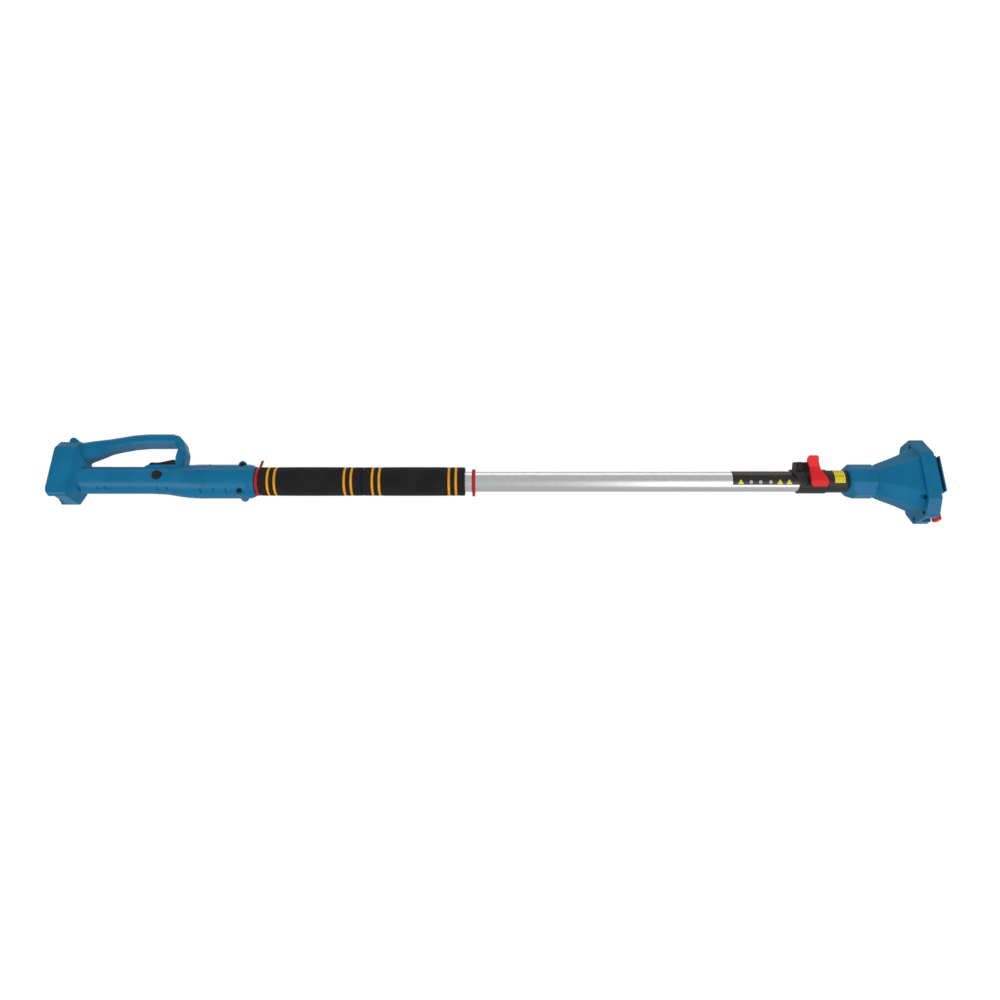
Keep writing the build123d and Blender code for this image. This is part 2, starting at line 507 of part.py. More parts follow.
rails = block(PLATE_END, RAIL_END, -RAIL_HALF_WIDTH, RAIL_HALF_WIDTH, -24, 26)
for side in (-1, 1):
    rails = rails - block(PLATE_END + 4.4, PLATE_END + 8.4, side * 27.5 - 3.5, side * 27.5 + 3.5, -30, 30)
rails = rails - block(PLATE_END - 1, RAIL_END + 1, -13.2, 13.2, -8, 22)
NODES["tool_rail_block"] = chamfer(rails.faces().sort_by(Axis.X)[-1].edges(), 0.8)
strips = []
for side in (-1, 1):
    strips.append(block(PLATE_END + 4.8, PLATE_END + 8.0, side * 24.7 - 0.7, side * 24.7 + 0.7, -22, 24))
NODES["tool_rail_strips"] = Compound(children=strips)

socket = block(1170, RAIL_END + 1.4, -13.2 + FIT, 13.2 - FIT, -8 + FIT, 22 - FIT)
socket_y = (-9.0, -4.5, 0.0, 4.5, 9.0)
for y in socket_y:
    socket = socket - block(1178, RAIL_END + 3, y - 0.9, y + 0.9, -5, 19)
socket = socket - rod_x(2.0, 1165, 1176, 0, 8)
NODES["tool_terminal_block"] = socket
NODES["tool_contact_blades"] = Compound(children=[
    block(1178.0, 1188.4, y - 0.5, y + 0.5, -3, 17) for y in socket_y])

latch = block(1169.5, PLATE_END - 0.4, -11.0, 11.0, -46, -28.4)
knob = block(PLATE_END + 0.4, 1188.4, -6.0, 6.0, -57.0, -42.0)
knob = fillet(knob.edges().filter_by(Axis.Y), 2.6)
knob = fillet([e for e in knob.edges() if abs(abs(e.center().Y) - 6) < 0.01], 1.2)
hook = prism_y([(1176, -36.5), (1187.2, -36.5), (1187.2, -34.5), (1180, -29.4), (1176, -29.4)], 6.0)
neck = block(1172.0, PLATE_END + 4.0, -6.0, 6.0, -50.0, -42.0)
latch = latch + knob + neck + hook - rod_x(3.3, 1168, 1174, 0, -37)
NODES["release_latch"] = latch
NODES["latch_spring"] = Pos(1157.2, 0, -37) * Rot(0, 90, 0) * coil_spring(2.6, 0.4, 16.0, 7)

# ---- export ----------------------------------------------------------------
os.makedirs("parts", exist_ok=True)
for node, shape in NODES.items():
    moved = [Pos(-SEAT_FLOOR, 0, 0) * solid for solid in shape.solids()]
    whole = moved[0] if len(moved) == 1 else Compound(children=moved)
    export_step(whole, "parts/" + node + ".step")
    print(node, round(shape.volume), len(shape.solids()))
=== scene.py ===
"""Looks of the telescoping pole of a battery pole saw. Metres, in the part's own frame:
+X runs along the pole from the battery seat to the saw's head, and +Z is the trigger's side."""

from math import cos, pi, radians, sin

import bmesh
import bpy
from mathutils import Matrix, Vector


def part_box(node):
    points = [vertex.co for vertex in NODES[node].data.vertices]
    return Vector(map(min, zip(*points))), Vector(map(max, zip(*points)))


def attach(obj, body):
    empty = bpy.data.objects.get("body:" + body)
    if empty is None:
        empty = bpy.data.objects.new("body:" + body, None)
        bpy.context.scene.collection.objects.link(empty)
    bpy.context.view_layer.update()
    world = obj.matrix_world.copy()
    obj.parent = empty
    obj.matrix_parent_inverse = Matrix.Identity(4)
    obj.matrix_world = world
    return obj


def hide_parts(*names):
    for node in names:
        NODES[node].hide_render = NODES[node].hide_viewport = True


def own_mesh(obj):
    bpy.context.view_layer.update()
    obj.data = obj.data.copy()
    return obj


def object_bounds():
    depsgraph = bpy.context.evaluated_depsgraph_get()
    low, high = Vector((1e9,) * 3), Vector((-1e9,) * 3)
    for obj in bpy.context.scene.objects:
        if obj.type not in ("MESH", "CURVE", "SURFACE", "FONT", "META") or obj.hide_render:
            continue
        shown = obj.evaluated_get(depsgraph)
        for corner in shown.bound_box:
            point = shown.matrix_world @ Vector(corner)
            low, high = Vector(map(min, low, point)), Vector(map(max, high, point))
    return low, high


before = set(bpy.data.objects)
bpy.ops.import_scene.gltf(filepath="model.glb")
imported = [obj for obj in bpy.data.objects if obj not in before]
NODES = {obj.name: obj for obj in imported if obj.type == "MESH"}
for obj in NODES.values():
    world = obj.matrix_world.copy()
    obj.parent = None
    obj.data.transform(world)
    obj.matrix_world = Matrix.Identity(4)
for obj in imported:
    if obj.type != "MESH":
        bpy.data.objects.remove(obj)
CAD_LOW, CAD_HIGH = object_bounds()
MM = 0.001


# ---- colours, as they look on the object ---------------------------------------------------
def colour(red, green, blue):
    """Screen colour from 0 to 255, as a shader colour."""
    def linear(value):
        value /= 255
        return value / 12.92 if value <= 0.04045 else ((value + 0.055) / 1.055) ** 2.4
    return (linear(red), linear(green), linear(blue), 1.0)


def shade(base, factor):
    """The same colour, lighter or darker."""
    return tuple(min(1.0, channel * factor) for channel in base[:3]) + (1.0,)


TEAL = colour(0, 115, 160)
BLACK_PLASTIC = colour(36, 36, 39)
CLAMP_BLACK = colour(52, 50, 50)
FOAM_BLACK = colour(33, 33, 34)
STRIPE_YELLOW = colour(244, 178, 34)
# Brown for the bands' sides, where it is painted shade, and for the grime on the bands.
BAND_SHADE_AND_GRIME_BROWN = colour(120, 62, 10)
RING_RED = colour(196, 30, 40)
LEVER_RED = colour(240, 38, 40)
LABEL_BLACK = colour(30, 26, 26)
LABEL_YELLOW = colour(238, 220, 12)
LABEL_WHITE = colour(190, 190, 198)
LABEL_RUST = colour(112, 48, 38)
LABEL_INK = colour(48, 42, 20)
BARE_FILM = colour(150, 148, 145)
ALUMINIUM = colour(232, 232, 231)
TUBE_BLACK = colour(34, 34, 37)
STEEL = colour(150, 152, 156)
DARK_STEEL = colour(70, 70, 74)
SPRING_STEEL = colour(168, 170, 174)
BRASS = colour(212, 172, 98)
BOARD_GREEN = colour(20, 92, 48)
RUBBER = colour(24, 24, 25)
BUSH_GREY = colour(165, 165, 158)
FLOOR_PALE = colour(238, 238, 238)


# ---- materials -----------------------------------------------------------------------------
SOCKETS = {"metallic": "Metallic", "specular": "Specular IOR Level", "coat": "Coat Weight",
           "coat_roughness": "Coat Roughness", "sheen": "Sheen Weight",
           "sheen_roughness": "Sheen Roughness"}
BEVEL_SAMPLES = 4
# A Mix node's sockets for colours: the share, the two colours, and the result.
MIX_SHARE, MIX_FIRST, MIX_SECOND, MIX_RESULT = 0, 6, 7, 2


class Finish:
    """A procedural material, drawn in the part's own coordinates so that it moves with its piece."""

    def __init__(self, name, **settings):
        self.material = bpy.data.materials.new(name)
        self.material.use_nodes = True
        self.nodes = self.material.node_tree.nodes
        self.links = self.material.node_tree.links
        self.shader = self.nodes["Principled BSDF"]
        for key, value in settings.items():
            self.shader.inputs[SOCKETS[key]].default_value = value

    def put(self, socket, value):
        """Links another node's output to the socket, or sets the socket to a constant."""
        if isinstance(value, bpy.types.NodeSocket):
            self.links.new(value, socket)
        else:
            socket.default_value = value

    def node(self, kind, inputs=None, **settings):
        """A new shader node, with its inputs linked or set by name or number."""
        node = self.nodes.new("ShaderNode" + kind)
        for key, value in settings.items():
            setattr(node, key, value)
        for key, value in (inputs or {}).items():
            self.put(node.inputs[key], value)
        return node

    def math(self, operation, first, second=0.0):
        return self.node("Math", {0: first, 1: second}, operation=operation).outputs[0]

    def place(self, stretch=(1, 1, 1)):
        """Position in the piece's own coordinates, each axis scaled by its stretch."""
        coords = self.node("TexCoord").outputs["Object"]
        return self.node("Mapping", {"Vector": coords, "Scale": stretch}).outputs[0]

    def along(self, axis):
        """Distance along the part's X, Y or Z axis, in metres."""
        return self.node("SeparateXYZ", {0: self.place()}).outputs[axis]

    def noise(self, size, stretch=(1, 1, 1), detail=2.0):
        """Cloudy value about 0.5, with blobs of about this size. A stretch under 1 draws them out."""
        inputs = {"Vector": self.place(stretch), "Scale": 1 / size, "Detail": detail}
        return self.node("TexNoise", inputs).outputs[0]

    def cells(self, size):
        """Distance to the nearest of many scattered points: round pits or grains."""
        return self.node("TexVoronoi", {"Vector": self.place(), "Scale": 1 / size}).outputs[0]

    def spread(self, value, low, high):
        """Smooth step: 0 at low, 1 at high."""
        inputs = {"Value": value, "From Min": low, "From Max": high}
        return self.node("MapRange", inputs, interpolation_type="SMOOTHSTEP").outputs[0]

    def lerp(self, share, low, high):
        """Straight line: low at 0, high at 1."""
        return self.node("MapRange", {"Value": share, "To Min": low, "To Max": high}).outputs[0]

    def mix(self, share, first, second):
        """Colour that is first at 0 and second at 1."""
        node = self.node("Mix", data_type="RGBA")
        for index, value in ((MIX_SHARE, share), (MIX_FIRST, first), (MIX_SECOND, second)):
            self.put(node.inputs[index], value)
        return node.outputs[MIX_RESULT]

    def cover(self, tone, mask, share, top):
        """Lays the colour top over tone where mask is 1, by no more than this share."""
        return self.mix(self.math("MULTIPLY", mask, share), tone, top)

    def soft_edge_normal(self, radius):
        """Normal that rounds the edges off by this radius."""
        return self.node("Bevel", {"Radius": radius}, samples=BEVEL_SAMPLES).outputs[0]

    def edges(self, radius):
        """1 on outside and inside edges, 0 on open surfaces."""
        rounded = self.soft_edge_normal(radius)
        plain = self.node("NewGeometry").outputs["Normal"]
        agreement = self.node("VectorMath", {0: rounded, 1: plain}, operation="DOT_PRODUCT")
        return self.spread(agreement.outputs["Value"], 0.995, 0.86)

    def bump(self, height, depth, strength, under=None):
        """Normal of a relief this deep, laid over the normal under."""
        inputs = {"Height": height, "Distance": depth, "Strength": strength}
        if under is not None:
            inputs["Normal"] = under
        return self.node("Bump", inputs).outputs[0]

    def paint(self, base, roughness, normal=None):
        """Gives the shader its colour, roughness and normal, and returns the material."""
        self.put(self.shader.inputs["Base Color"], base)
        self.put(self.shader.inputs["Roughness"], roughness)
        if normal is not None:
            self.put(self.shader.inputs["Normal"], normal)
        return self.material


# In the finishes, roughness is a pair: the shiniest spots and the dullest ones.
def moulded(name, base, roughness=(0.26, 0.38), rub=0.35, seam=False):
    """Injection-moulded plastic: faint flow clouds, spark-eroded grain, rubbed edges and hairline
    scuffs. rub is how far the edges have paled, and seam draws the line between two shells."""
    edge = 0.5 * MM
    look = Finish(name, specular=0.22)
    clouds = look.spread(look.noise(38 * MM, detail=3), 0.34, 0.66)
    specks = look.spread(look.noise(1.1 * MM, detail=4), 0.38, 0.72)
    tone = look.mix(clouds, shade(base, 0.9), shade(base, 1.06))
    tone = look.cover(tone, specks, 0.35, shade(base, 0.8))
    scuffs = look.spread(look.noise(2.2 * MM, stretch=(0.07, 1, 1), detail=3), 0.66, 0.7)
    scuffs = look.math("MULTIPLY", scuffs, look.spread(look.noise(24 * MM), 0.5, 0.62))
    tone = look.cover(tone, scuffs, 0.35, shade(base, 1.7))
    rims = look.edges(edge)
    worn = look.math("MULTIPLY", rims, look.spread(look.noise(7 * MM, detail=4), 0.38, 0.62))
    tone = look.cover(tone, worn, rub, shade(base, 1.55))
    uneven = look.math("ADD", look.math("MULTIPLY", clouds, 0.6), look.math("MULTIPLY", specks, 0.4))
    rough = look.lerp(uneven, *roughness)
    rough = look.math("SUBTRACT", rough, look.math("MULTIPLY", worn, 0.1))
    normal = look.soft_edge_normal(edge)
    normal = look.bump(look.noise(0.5 * MM, detail=3), 0.018 * MM, 0.7, normal)
    normal = look.bump(look.noise(16 * MM, detail=1), 0.12 * MM, 0.35, normal)
    if seam:
        off_middle = look.math("ABSOLUTE", look.along("Y"))
        beside = look.spread(off_middle, 0.1 * MM, 0.32 * MM)
        tone = look.mix(look.math("SUBTRACT", 1.0, beside), tone, shade(base, 0.32))
        normal = look.bump(beside, 0.12 * MM, 0.8, normal)
    return look.paint(tone, rough, normal)


def foam(name, base):
    """Closed-cell foam rubber: open pores at the cut skin with painted shade in them, a dusty bloom and
    a little sheen.
    """
    look = Finish(name, specular=0.15, sheen=0.04, sheen_roughness=0.5)
    pores = look.cells(0.9 * MM)
    # Painted shade in the pores: darker towards each pore's middle.
    pore_shade = look.spread(pores, 0.42, 0.1)
    clouds = look.spread(look.noise(26 * MM, detail=4), 0.32, 0.68)
    tone = look.mix(clouds, shade(base, 0.8), shade(base, 1.25))
    tone = look.cover(tone, pore_shade, 0.6, shade(base, 0.4))
    dust = look.spread(look.noise(3 * MM, stretch=(0.6, 1, 1), detail=5), 0.58, 0.74)
    tone = look.cover(tone, dust, 0.12, shade(base, 3.0))
    rough = look.lerp(clouds, 0.78, 0.92)
    normal = look.bump(look.spread(pores, 0.0, 0.5), 0.09 * MM, 0.8)
    normal = look.bump(look.noise(5 * MM, detail=3), 0.25 * MM, 0.5, normal)
    return look.paint(tone, rough, normal)


def rubber(name, base, grime, roughness=(0.5, 0.66)):
    """Moulded soft rubber with handling grime and a slightly uneven skin."""
    look = Finish(name, specular=0.25)
    clouds = look.spread(look.noise(9 * MM, detail=4), 0.34, 0.68)
    tone = look.mix(clouds, shade(base, 0.88), shade(base, 1.05))
    smudge = look.spread(look.noise(2.4 * MM, detail=5), 0.56, 0.72)
    tone = look.cover(tone, smudge, 0.4, grime)
    tone = look.cover(tone, look.edges(0.4 * MM), 0.3, shade(base, 1.25))
    grain = look.noise(0.7 * MM, detail=3)
    normal = look.bump(grain, 0.03 * MM, 0.6, look.soft_edge_normal(0.35 * MM))
    return look.paint(tone, look.lerp(clouds, *roughness), normal)


def drawn_tube(name, base, roughness, metallic, streak):
    """Anodised tube: die lines along it, faint cloudy anodising, fine handling scratches."""
    look = Finish(name, metallic=metallic, specular=0.5)
    lines = look.noise(0.55 * MM, stretch=(0.008, 1, 1), detail=3)
    fine = look.noise(0.2 * MM, stretch=(0.02, 1, 1), detail=2)
    clouds = look.spread(look.noise(60 * MM, stretch=(0.5, 1, 1), detail=3), 0.34, 0.68)
    tone = look.mix(look.spread(lines, 0.3, 0.7), shade(base, 1 - streak), shade(base, 1 + streak / 2))
    tone = look.cover(tone, clouds, 0.4, shade(base, 0.94))
    nicks = look.spread(look.noise(3 * MM, stretch=(0.5, 1, 1), detail=5), 0.69, 0.73)
    tone = look.cover(tone, nicks, 0.5, shade(base, 0.72))
    rough = look.lerp(look.spread(fine, 0.3, 0.7), *roughness)
    rough = look.math("ADD", rough, look.math("MULTIPLY", nicks, 0.15))
    return look.paint(tone, rough, look.bump(lines, 0.0012 * MM, 0.4))


def plated(name, base, roughness=(0.28, 0.46), edge=0.3 * MM):
    """Zinc-plated steel: mottled plating, brighter edges, a trace of dirt in random specks."""
    look = Finish(name, metallic=1.0)
    spots = look.spread(look.noise(1.6 * MM, detail=4), 0.34, 0.68)
    tone = look.mix(spots, shade(base, 0.8), shade(base, 1.12))
    tone = look.cover(tone, look.edges(edge), 0.6, shade(base, 1.5))
    dirt = look.spread(look.noise(0.9 * MM, detail=5), 0.6, 0.74)
    tone = look.cover(tone, dirt, 0.5, shade(base, 0.35))
    grain = look.noise(0.4 * MM, detail=3)
    normal = look.bump(grain, 0.012 * MM, 0.6, look.soft_edge_normal(edge))
    return look.paint(tone, look.lerp(spots, *roughness), normal)


def printed(name, base):
    """Printed film: smooth, with faint ink mottling and rubbed spots."""
    look = Finish(name, specular=0.5)
    ink = look.spread(look.noise(1.4 * MM, detail=4), 0.3, 0.7)
    tone = look.mix(ink, shade(base, 0.9), shade(base, 1.06))
    rubbed = look.spread(look.noise(4 * MM, stretch=(0.5, 1, 1), detail=5), 0.64, 0.76)
    tone = look.cover(tone, rubbed, 0.25, BARE_FILM)
    normal = look.bump(look.noise(2.5 * MM, detail=2), 0.02 * MM, 0.5)
    return look.paint(tone, look.lerp(ink, 0.22, 0.34), normal)


def circuit(name, base):
    """Lacquered board: copper tracks under green lacquer, running both ways."""
    look = Finish(name, specular=0.5, coat=0.4, coat_roughness=0.15)

    def tracks(axis, waves):
        """Stripes across an axis. waves is the angle of their sine wave, in radians for a metre."""
        wave = look.math("SINE", look.math("MULTIPLY", look.along(axis), waves))
        return look.spread(look.math("ABSOLUTE", wave), 0.25, 0.35)

    upright = tracks("Y", 1700)
    level = tracks("Z", 1300)
    region = look.spread(look.noise(6 * MM), 0.48, 0.52)
    copper = look.math("ADD", look.math("MULTIPLY", upright, region),
                       look.math("MULTIPLY", level, look.math("SUBTRACT", 1.0, region)))
    tone = look.mix(copper, shade(base, 1.5), shade(base, 0.8))
    normal = look.bump(copper, 0.03 * MM, 0.5)
    return look.paint(tone, look.lerp(look.noise(3 * MM), 0.25, 0.45), normal)


HANDLE_TEAL = moulded("handle_teal", TEAL, seam=True)
HEAD_TEAL = moulded("head_teal", shade(TEAL, 0.97))
BLACK_MOULDING = moulded("black_moulding", BLACK_PLASTIC, roughness=(0.42, 0.6))
CLAMP_PLASTIC = moulded("clamp_moulding", CLAMP_BLACK, roughness=(0.38, 0.55), rub=0.3)
FERRULE_PLASTIC = moulded("ferrule_moulding", CLAMP_BLACK, rub=0.3)
BUSH_PLASTIC = moulded("bush_moulding", BUSH_GREY, roughness=(0.4, 0.5), rub=0.2)
LEVER_PLASTIC = moulded("lever_red_moulding", LEVER_RED, roughness=(0.28, 0.4), rub=0.25)
LATCH_PLASTIC = moulded("latch_red_moulding", shade(LEVER_RED, 0.9), roughness=(0.28, 0.42), rub=0.25)
FOAM = foam("grip_foam_black", FOAM_BLACK)
STRIPE = rubber("stripe_yellow_rubber", STRIPE_YELLOW, shade(BAND_SHADE_AND_GRIME_BROWN, 1.4))
# The bands' sides: brown that is painted shade along the band edges, with darker grime.
STRIPE_SIDE_SHADE = rubber("stripe_side_painted_shade", BAND_SHADE_AND_GRIME_BROWN, shade(BAND_SHADE_AND_GRIME_BROWN, 0.5))
RING = rubber("ring_red_rubber", RING_RED, shade(RING_RED, 0.45), roughness=(0.4, 0.52))
CORD = rubber("cord_black_rubber", RUBBER, shade(RUBBER, 2.5))
SILVER = drawn_tube("silver_anodised", ALUMINIUM, (0.26, 0.34), metallic=1.0, streak=0.03)
BLACK_TUBE = drawn_tube("black_anodised", TUBE_BLACK, (0.28, 0.42), metallic=0.6, streak=0.1)
ZINC = plated("zinc_plated", STEEL)
BLACK_ZINC = plated("black_zinc", DARK_STEEL, roughness=(0.35, 0.5))
SPRING = plated("spring_wire", SPRING_STEEL, roughness=(0.22, 0.34), edge=0.1 * MM)
CONTACT = plated("contact_blade", BRASS, roughness=(0.2, 0.34), edge=0.15 * MM)
BOARD = circuit("board_green", BOARD_GREEN)
FILM_BLACK = printed("film_black", LABEL_BLACK)
FILM_YELLOW = printed("film_yellow", LABEL_YELLOW)
INK_WHITE = printed("ink_white", LABEL_WHITE)
INK_RUST = printed("ink_rust", LABEL_RUST)
INK_BLACK = printed("ink_black", LABEL_INK)

# The CAD nodes that keep their own meshes, and the coils of the springs, by finish.
NODES_BY_FINISH = (
    (HANDLE_TEAL, ("handle_shell_left", "handle_shell_right")),
    (HEAD_TEAL, ("head_bell", "head_front_plate", "tool_rail_block")),
    (BLACK_MOULDING, ("battery_terminal_block", "trigger", "trigger_switch", "lock_off_button",
                      "rear_cord_anchor", "front_cord_anchor", "inner_tube_guide",
                      "tool_terminal_block")),
    (CLAMP_PLASTIC, ("clamp_collar",)),
    (FERRULE_PLASTIC, ("tube_ferrule",)),
    (BUSH_PLASTIC, ("clamp_bush", "pressure_pad")),
    (LEVER_PLASTIC, ("clamp_lever",)),
    (LATCH_PLASTIC, ("release_latch",)),
    (RING, ("grip_ring_rear", "grip_ring_front")),
    (CORD, ("coiled_lead", "rear_lead", "front_lead")),
    (SILVER, ("outer_tube",)),
    (BLACK_TUBE, ("inner_tube",)),
    (ZINC, ("trigger_pin", "lever_pin", "tube_nuts", "pinch_nuts")),
    (BLACK_ZINC, ("pinch_screws", "tool_rail_strips")),
    (SPRING, ("trigger_spring", "lock_off_spring", "latch_spring")),
    (CONTACT, ("battery_contact_blades", "tool_contact_blades")),
    (BOARD, ("controller_board",)),
    (FILM_BLACK, ("info_label",)),
    (FILM_YELLOW, ("ferrule_label",)),
)
for finish, names in NODES_BY_FINISH:
    for name in names:
        NODES[name].data.materials.clear()
        NODES[name].data.materials.append(finish)


# ---- mesh tools ----------------------------------------------------------------------------
def solids(node):
    """Lowest and highest corner of each separate solid of a CAD node, from the rear forwards."""
    mesh = bmesh.new()
    mesh.from_mesh(NODES[node].data)
    bmesh.ops.remove_doubles(mesh, verts=mesh.verts, dist=0.002 * MM)
    left = set(mesh.verts)
    boxes = []
    while left:
        todo, found = [left.pop()], []
        while todo:
            vertex = todo.pop()
            found.append(vertex.co.copy())
            for edge in vertex.link_edges:
                other = edge.other_vert(vertex)
                if other in left:
                    left.discard(other)
                    todo.append(other)
        boxes.append((Vector(min(corner[i] for corner in found) for i in range(3)),
                      Vector(max(corner[i] for corner in found) for i in range(3))))
    mesh.free()
    return sorted(boxes, key=lambda box: tuple(round(value, 5) for value in box[0]))


def turn(mesh, rings, origin, direction, steps, loop=False):
    """Adds a body turned round an axis. Each ring is (distance along the axis, radius), and a
    radius is a number or a function of the angle. A loop joins the last ring to the first.
    Returns the faces between each ring and the next."""
    upright = direction.to_track_quat("Z", "Y")
    rows = []
    for along, radius in rings:
        if radius == 0:
            rows.append([mesh.verts.new(origin + direction * along)])
            continue
        row = []
        for i in range(steps):
            angle = 2 * pi * i / steps
            reach = radius(angle) if callable(radius) else radius
            spot = Vector((reach * cos(angle), reach * sin(angle), along))
            row.append(mesh.verts.new(origin + upright @ spot))
        rows.append(row)
    pairs = list(zip(rows, rows[1:]))
    if loop:
        pairs.append((rows[-1], rows[0]))
    belts = []
    for low, high in pairs:
        belt = []
        for i in range(steps):
            j = (i + 1) % steps
            corners = [low[i % len(low)], low[j % len(low)], high[j % len(high)], high[i % len(high)]]
            belt.append(mesh.faces.new(list(dict.fromkeys(corners))))
        belts.append(belt)
    return belts


def piece(name, mesh, body, materials, nodes=(), sharp=35):
    """Finishes a mesh as a named piece that rides on a body and may stand for CAD nodes. Edges
    that turn by more than sharp degrees stay sharp."""
    bmesh.ops.recalc_face_normals(mesh, faces=mesh.faces)
    data = bpy.data.meshes.new(name)
    mesh.to_mesh(data)
    mesh.free()
    for material in materials:
        data.materials.append(material)
    data.polygons.foreach_set("use_smooth", [True] * len(data.polygons))
    data.set_sharp_from_angle(angle=radians(sharp))
    obj = bpy.data.objects.new(name, data)
    bpy.context.scene.collection.objects.link(obj)
    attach(obj, body)
    if nodes:
        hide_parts(*nodes)
    return obj


# ---- screws: turned heads with a driver recess ---------------------------------------------
SCREW_STEPS = 48
TAPER = 0.7 * MM             # length of the taper at the end of the shank
TAPER_END = 0.55             # radius at the taper's end, as a share of the shank's
HEAD_CHAMFER = 0.15 * MM     # height of the chamfer at the head's lower edge
CHAMFER_START = 0.96         # radius at the chamfer's start, as a share of the head's
RECESS_CHAMFER = 0.08 * MM   # depth of the chamfer round the recess
RECESS_MOUTH = 1.08          # size of the recess at its mouth and its floor, as shares of its own
RECESS_FLOOR = 0.9
RECESS_CONE = 0.2 * MM       # how much deeper the middle of the recess is than its wall
LOBES, LOBE_HEIGHT = 6, 0.15
# The head's crown: distance below its top as a share of its height, and share of its radius.
CROWN = ((0.45, 1), (0.2, 0.95), (0.05, 0.84), (0, 0.7))


def star(size):
    """Outline of a six-lobed driver recess."""
    return lambda angle: size * (1 + LOBE_HEIGHT * cos(LOBES * angle))


def hexagon(size):
    """Outline of a hexagon socket, size from its centre to a flat."""
    return lambda angle: size / cos((angle % (pi / 3)) - pi / 6)


def scaled(outline, factor):
    """The same outline, larger or smaller."""
    return lambda angle: outline(angle) * factor


def screw(mesh, box, direction, head_height, shank, recess, depth):
    """One screw in the place of a CAD solid. direction points out of its head."""
    low, high = box
    middle = (low + high) / 2
    half = (high - low) / 2
    axis = max(range(3), key=lambda i: abs(direction[i]))
    length = 2 * half[axis]
    radius = min(half[i] for i in range(3) if i != axis)
    top = middle + direction * half[axis]
    stem = [(-length, 0), (-length, shank * TAPER_END), (-length + TAPER, shank), (-head_height, shank)]
    head = [(-head_height, radius * CHAMFER_START), (-head_height + HEAD_CHAMFER, radius)]
    head += [(-below * head_height, radius * share) for below, share in CROWN]
    socket = [(0, scaled(recess, RECESS_MOUTH)), (-RECESS_CHAMFER, recess),
              (-depth, scaled(recess, RECESS_FLOOR)), (-depth - RECESS_CONE, 0)]
    turn(mesh, stem + head + socket, top, direction, SCREW_STEPS)


def screw_set(name, node, body, direction, head_height, shank, recess, depth):
    """All the screws of one CAD node. shank is a radius, and depth is the recess's."""
    mesh = bmesh.new()
    for box in solids(node):
        screw(mesh, box, Vector(direction), head_height * MM, shank * MM, recess, depth * MM)
    piece(name, mesh, body, [BLACK_ZINC], [node], sharp=30)


# Piece, CAD node, body, way out of the head, height of the head, radius of the shank, outline of
# the recess, and its depth. The height, radius and depth are in millimetres.
SCREW_SETS = (
    ("shell_screw_set", "shell_screws", "pole", (0, 1, 0), 2.2, 1.5, star(1.25 * MM), 1.2),
    ("tube_bolt_set", "tube_bolts", "pole", (0, -1, 0), 3.6, 2.0, hexagon(1.7 * MM), 2.0),
    ("head_screw_set", "head_screws", "extension", (-1, 0, 0), 2.5, 1.5, star(1.25 * MM), 1.2),
    ("collar_screw_head", "collar_screw", "extension", (0, 0, 1), 2.1, 2.0, star(1.6 * MM), 1.2),
)
for settings in SCREW_SETS:
    screw_set(*settings)


# ---- springs: the CAD coils, each copied into a piece of its own on its body ---------------
def spring(node, body):
    """Copies a CAD spring's coil into a piece of its own that rides on the body, and hides the CAD
    node."""
    name = node + "_coil"
    data = NODES[node].data.copy()
    data.name = name
    obj = bpy.data.objects.new(name, data)
    bpy.context.scene.collection.objects.link(obj)
    obj.matrix_world = NODES[node].matrix_world
    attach(obj, body)
    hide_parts(node)
    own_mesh(obj)


spring("trigger_spring", "pole")
spring("lock_off_spring", "pole")
spring("latch_spring", "extension")


# ---- foam grips and their bands ------------------------------------------------------------
POLE_START, POLE_WAY = Vector((0, 0, 0)), Vector((1, 0, 0))
TUBE_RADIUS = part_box("outer_tube")[1].y
GRIP_STEPS = 144
FOAM_GAP = 0.02 * MM         # between the tube and the foam's bore
FOAM_CORNER = 1.8 * MM       # radius of the rounded ends
CORNER_STEPS = 6
STATION_STEP = 0.8 * MM      # between rings along the foam
FOAM_BULGE = 0.25 * MM       # how far the foam swells from its ends to its middle
BULGE_SUNK = 0.6             # share of the swell that is below the CAD solid's surface
CHANNEL_SIDE = 0.5 * MM      # foam pressed down beside a band
CHANNEL_ROOM = 0.35 * MM     # kept clear of plain rings on each side of a channel
# A channel's wall: distance in from its edge, and depth below the foam's surface.
CHANNEL_WALL = ((-0.3 * MM, 0.1 * MM), (0, 0.35 * MM), (0.1 * MM, 1.2 * MM))


